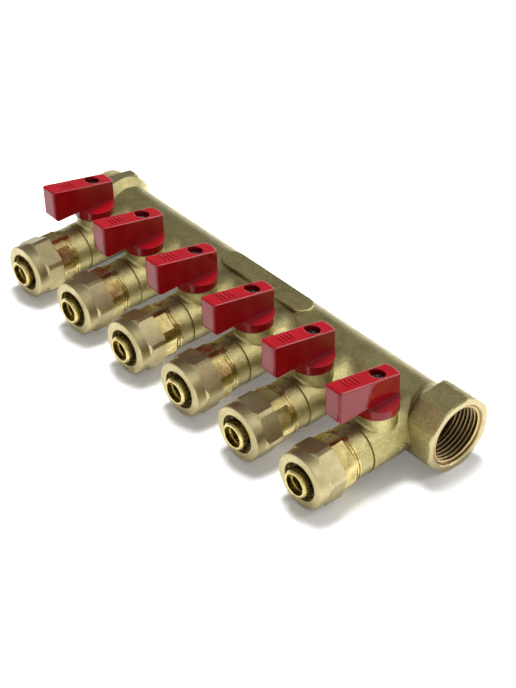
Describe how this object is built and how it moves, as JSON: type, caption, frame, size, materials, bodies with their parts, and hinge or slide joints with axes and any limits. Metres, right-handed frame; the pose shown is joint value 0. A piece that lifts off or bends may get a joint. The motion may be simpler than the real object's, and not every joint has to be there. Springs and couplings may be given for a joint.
{
  "type": "heating manifold",
  "caption": "Brass heating manifold: a straight distribution tube with red lever ball valves and compression nut outlets along one side.",
  "frame": {"origin": "centre of the supply port's face, on the main tube's axis", "axes": "+X along the main tube, out of the supply port; the outlets point to -Y; the levers stand on the +Z side"},
  "size_m": [0.2276, 0.0821, 0.0518],
  "materials": {
    "cast_brass": "matte forged and blasted",
    "machined_brass": "satin machined",
    "polished_brass": "bright turned",
    "turned_brass": "turned",
    "red_enamel": "gloss enamel",
    "screw_steel": "zinc plated",
    "ball_chrome": "plated and polished",
    "seat_plastic": "white PTFE",
    "seal_rubber": "matte black"
  },
  "bodies": {
    "manifold": {"manifold_body": "cast_brass", "valve_housing_1": "cast_brass", "valve_housing_2": "cast_brass", "valve_housing_3": "cast_brass", "valve_housing_4": "cast_brass", "valve_housing_5": "cast_brass", "valve_housing_6": "cast_brass", "ball_seats_1": "seat_plastic", "ball_seats_2": "seat_plastic", "ball_seats_3": "seat_plastic", "ball_seats_4": "seat_plastic", "ball_seats_5": "seat_plastic", "ball_seats_6": "seat_plastic", "outlet_nipple_1": "polished_brass", "outlet_nipple_2": "polished_brass", "outlet_nipple_3": "polished_brass", "outlet_nipple_4": "polished_brass", "outlet_nipple_5": "polished_brass", "outlet_nipple_6": "polished_brass", "compression_nut_1": "machined_brass", "compression_nut_2": "machined_brass", "compression_nut_3": "machined_brass", "compression_nut_4": "machined_brass", "compression_nut_5": "machined_brass", "compression_nut_6": "machined_brass", "split_ring_1": "turned_brass", "split_ring_2": "turned_brass", "split_ring_3": "turned_brass", "split_ring_4": "turned_brass", "split_ring_5": "turned_brass", "split_ring_6": "turned_brass", "barb_o_rings": "seal_rubber", "insulating_rings": "seat_plastic"},
    "valve_1": {"handle_1": "red_enamel", "handle_screw_1": "screw_steel", "valve_stem_1": "turned_brass", "stem_o_ring_1": "seal_rubber", "valve_ball_1": "ball_chrome"},
    "valve_2": {"handle_2": "red_enamel", "handle_screw_2": "screw_steel", "valve_stem_2": "turned_brass", "stem_o_ring_2": "seal_rubber", "valve_ball_2": "ball_chrome"},
    "valve_3": {"handle_3": "red_enamel", "handle_screw_3": "screw_steel", "valve_stem_3": "turned_brass", "stem_o_ring_3": "seal_rubber", "valve_ball_3": "ball_chrome"},
    "valve_4": {"handle_4": "red_enamel", "handle_screw_4": "screw_steel", "valve_stem_4": "turned_brass", "stem_o_ring_4": "seal_rubber", "valve_ball_4": "ball_chrome"},
    "valve_5": {"handle_5": "red_enamel", "handle_screw_5": "screw_steel", "valve_stem_5": "turned_brass", "stem_o_ring_5": "seal_rubber", "valve_ball_5": "ball_chrome"},
    "valve_6": {"handle_6": "red_enamel", "handle_screw_6": "screw_steel", "valve_stem_6": "turned_brass", "stem_o_ring_6": "seal_rubber", "valve_ball_6": "ball_chrome"}
  },
  "joints": [
    {"name": "valve_1_turn", "type": "hinge", "parent": "manifold", "child": "valve_1", "pos_m": [-0.0216, -0.0237, 0], "axis": [0, 0, 1], "range_deg": [-90, 0]},
    {"name": "valve_2_turn", "type": "hinge", "parent": "manifold", "child": "valve_2", "pos_m": [-0.0576, -0.0237, 0], "axis": [0, 0, 1], "range_deg": [-90, 0]},
    {"name": "valve_3_turn", "type": "hinge", "parent": "manifold", "child": "valve_3", "pos_m": [-0.0936, -0.0237, 0], "axis": [0, 0, 1], "range_deg": [-90, 0]},
    {"name": "valve_4_turn", "type": "hinge", "parent": "manifold", "child": "valve_4", "pos_m": [-0.1296, -0.0237, 0], "axis": [0, 0, 1], "range_deg": [-90, 0]},
    {"name": "valve_5_turn", "type": "hinge", "parent": "manifold", "child": "valve_5", "pos_m": [-0.1656, -0.0237, 0], "axis": [0, 0, 1], "range_deg": [-90, 0]},
    {"name": "valve_6_turn", "type": "hinge", "parent": "manifold", "child": "valve_6", "pos_m": [-0.2016, -0.0237, 0], "axis": [0, 0, 1], "range_deg": [-90, 0]}
  ]
}
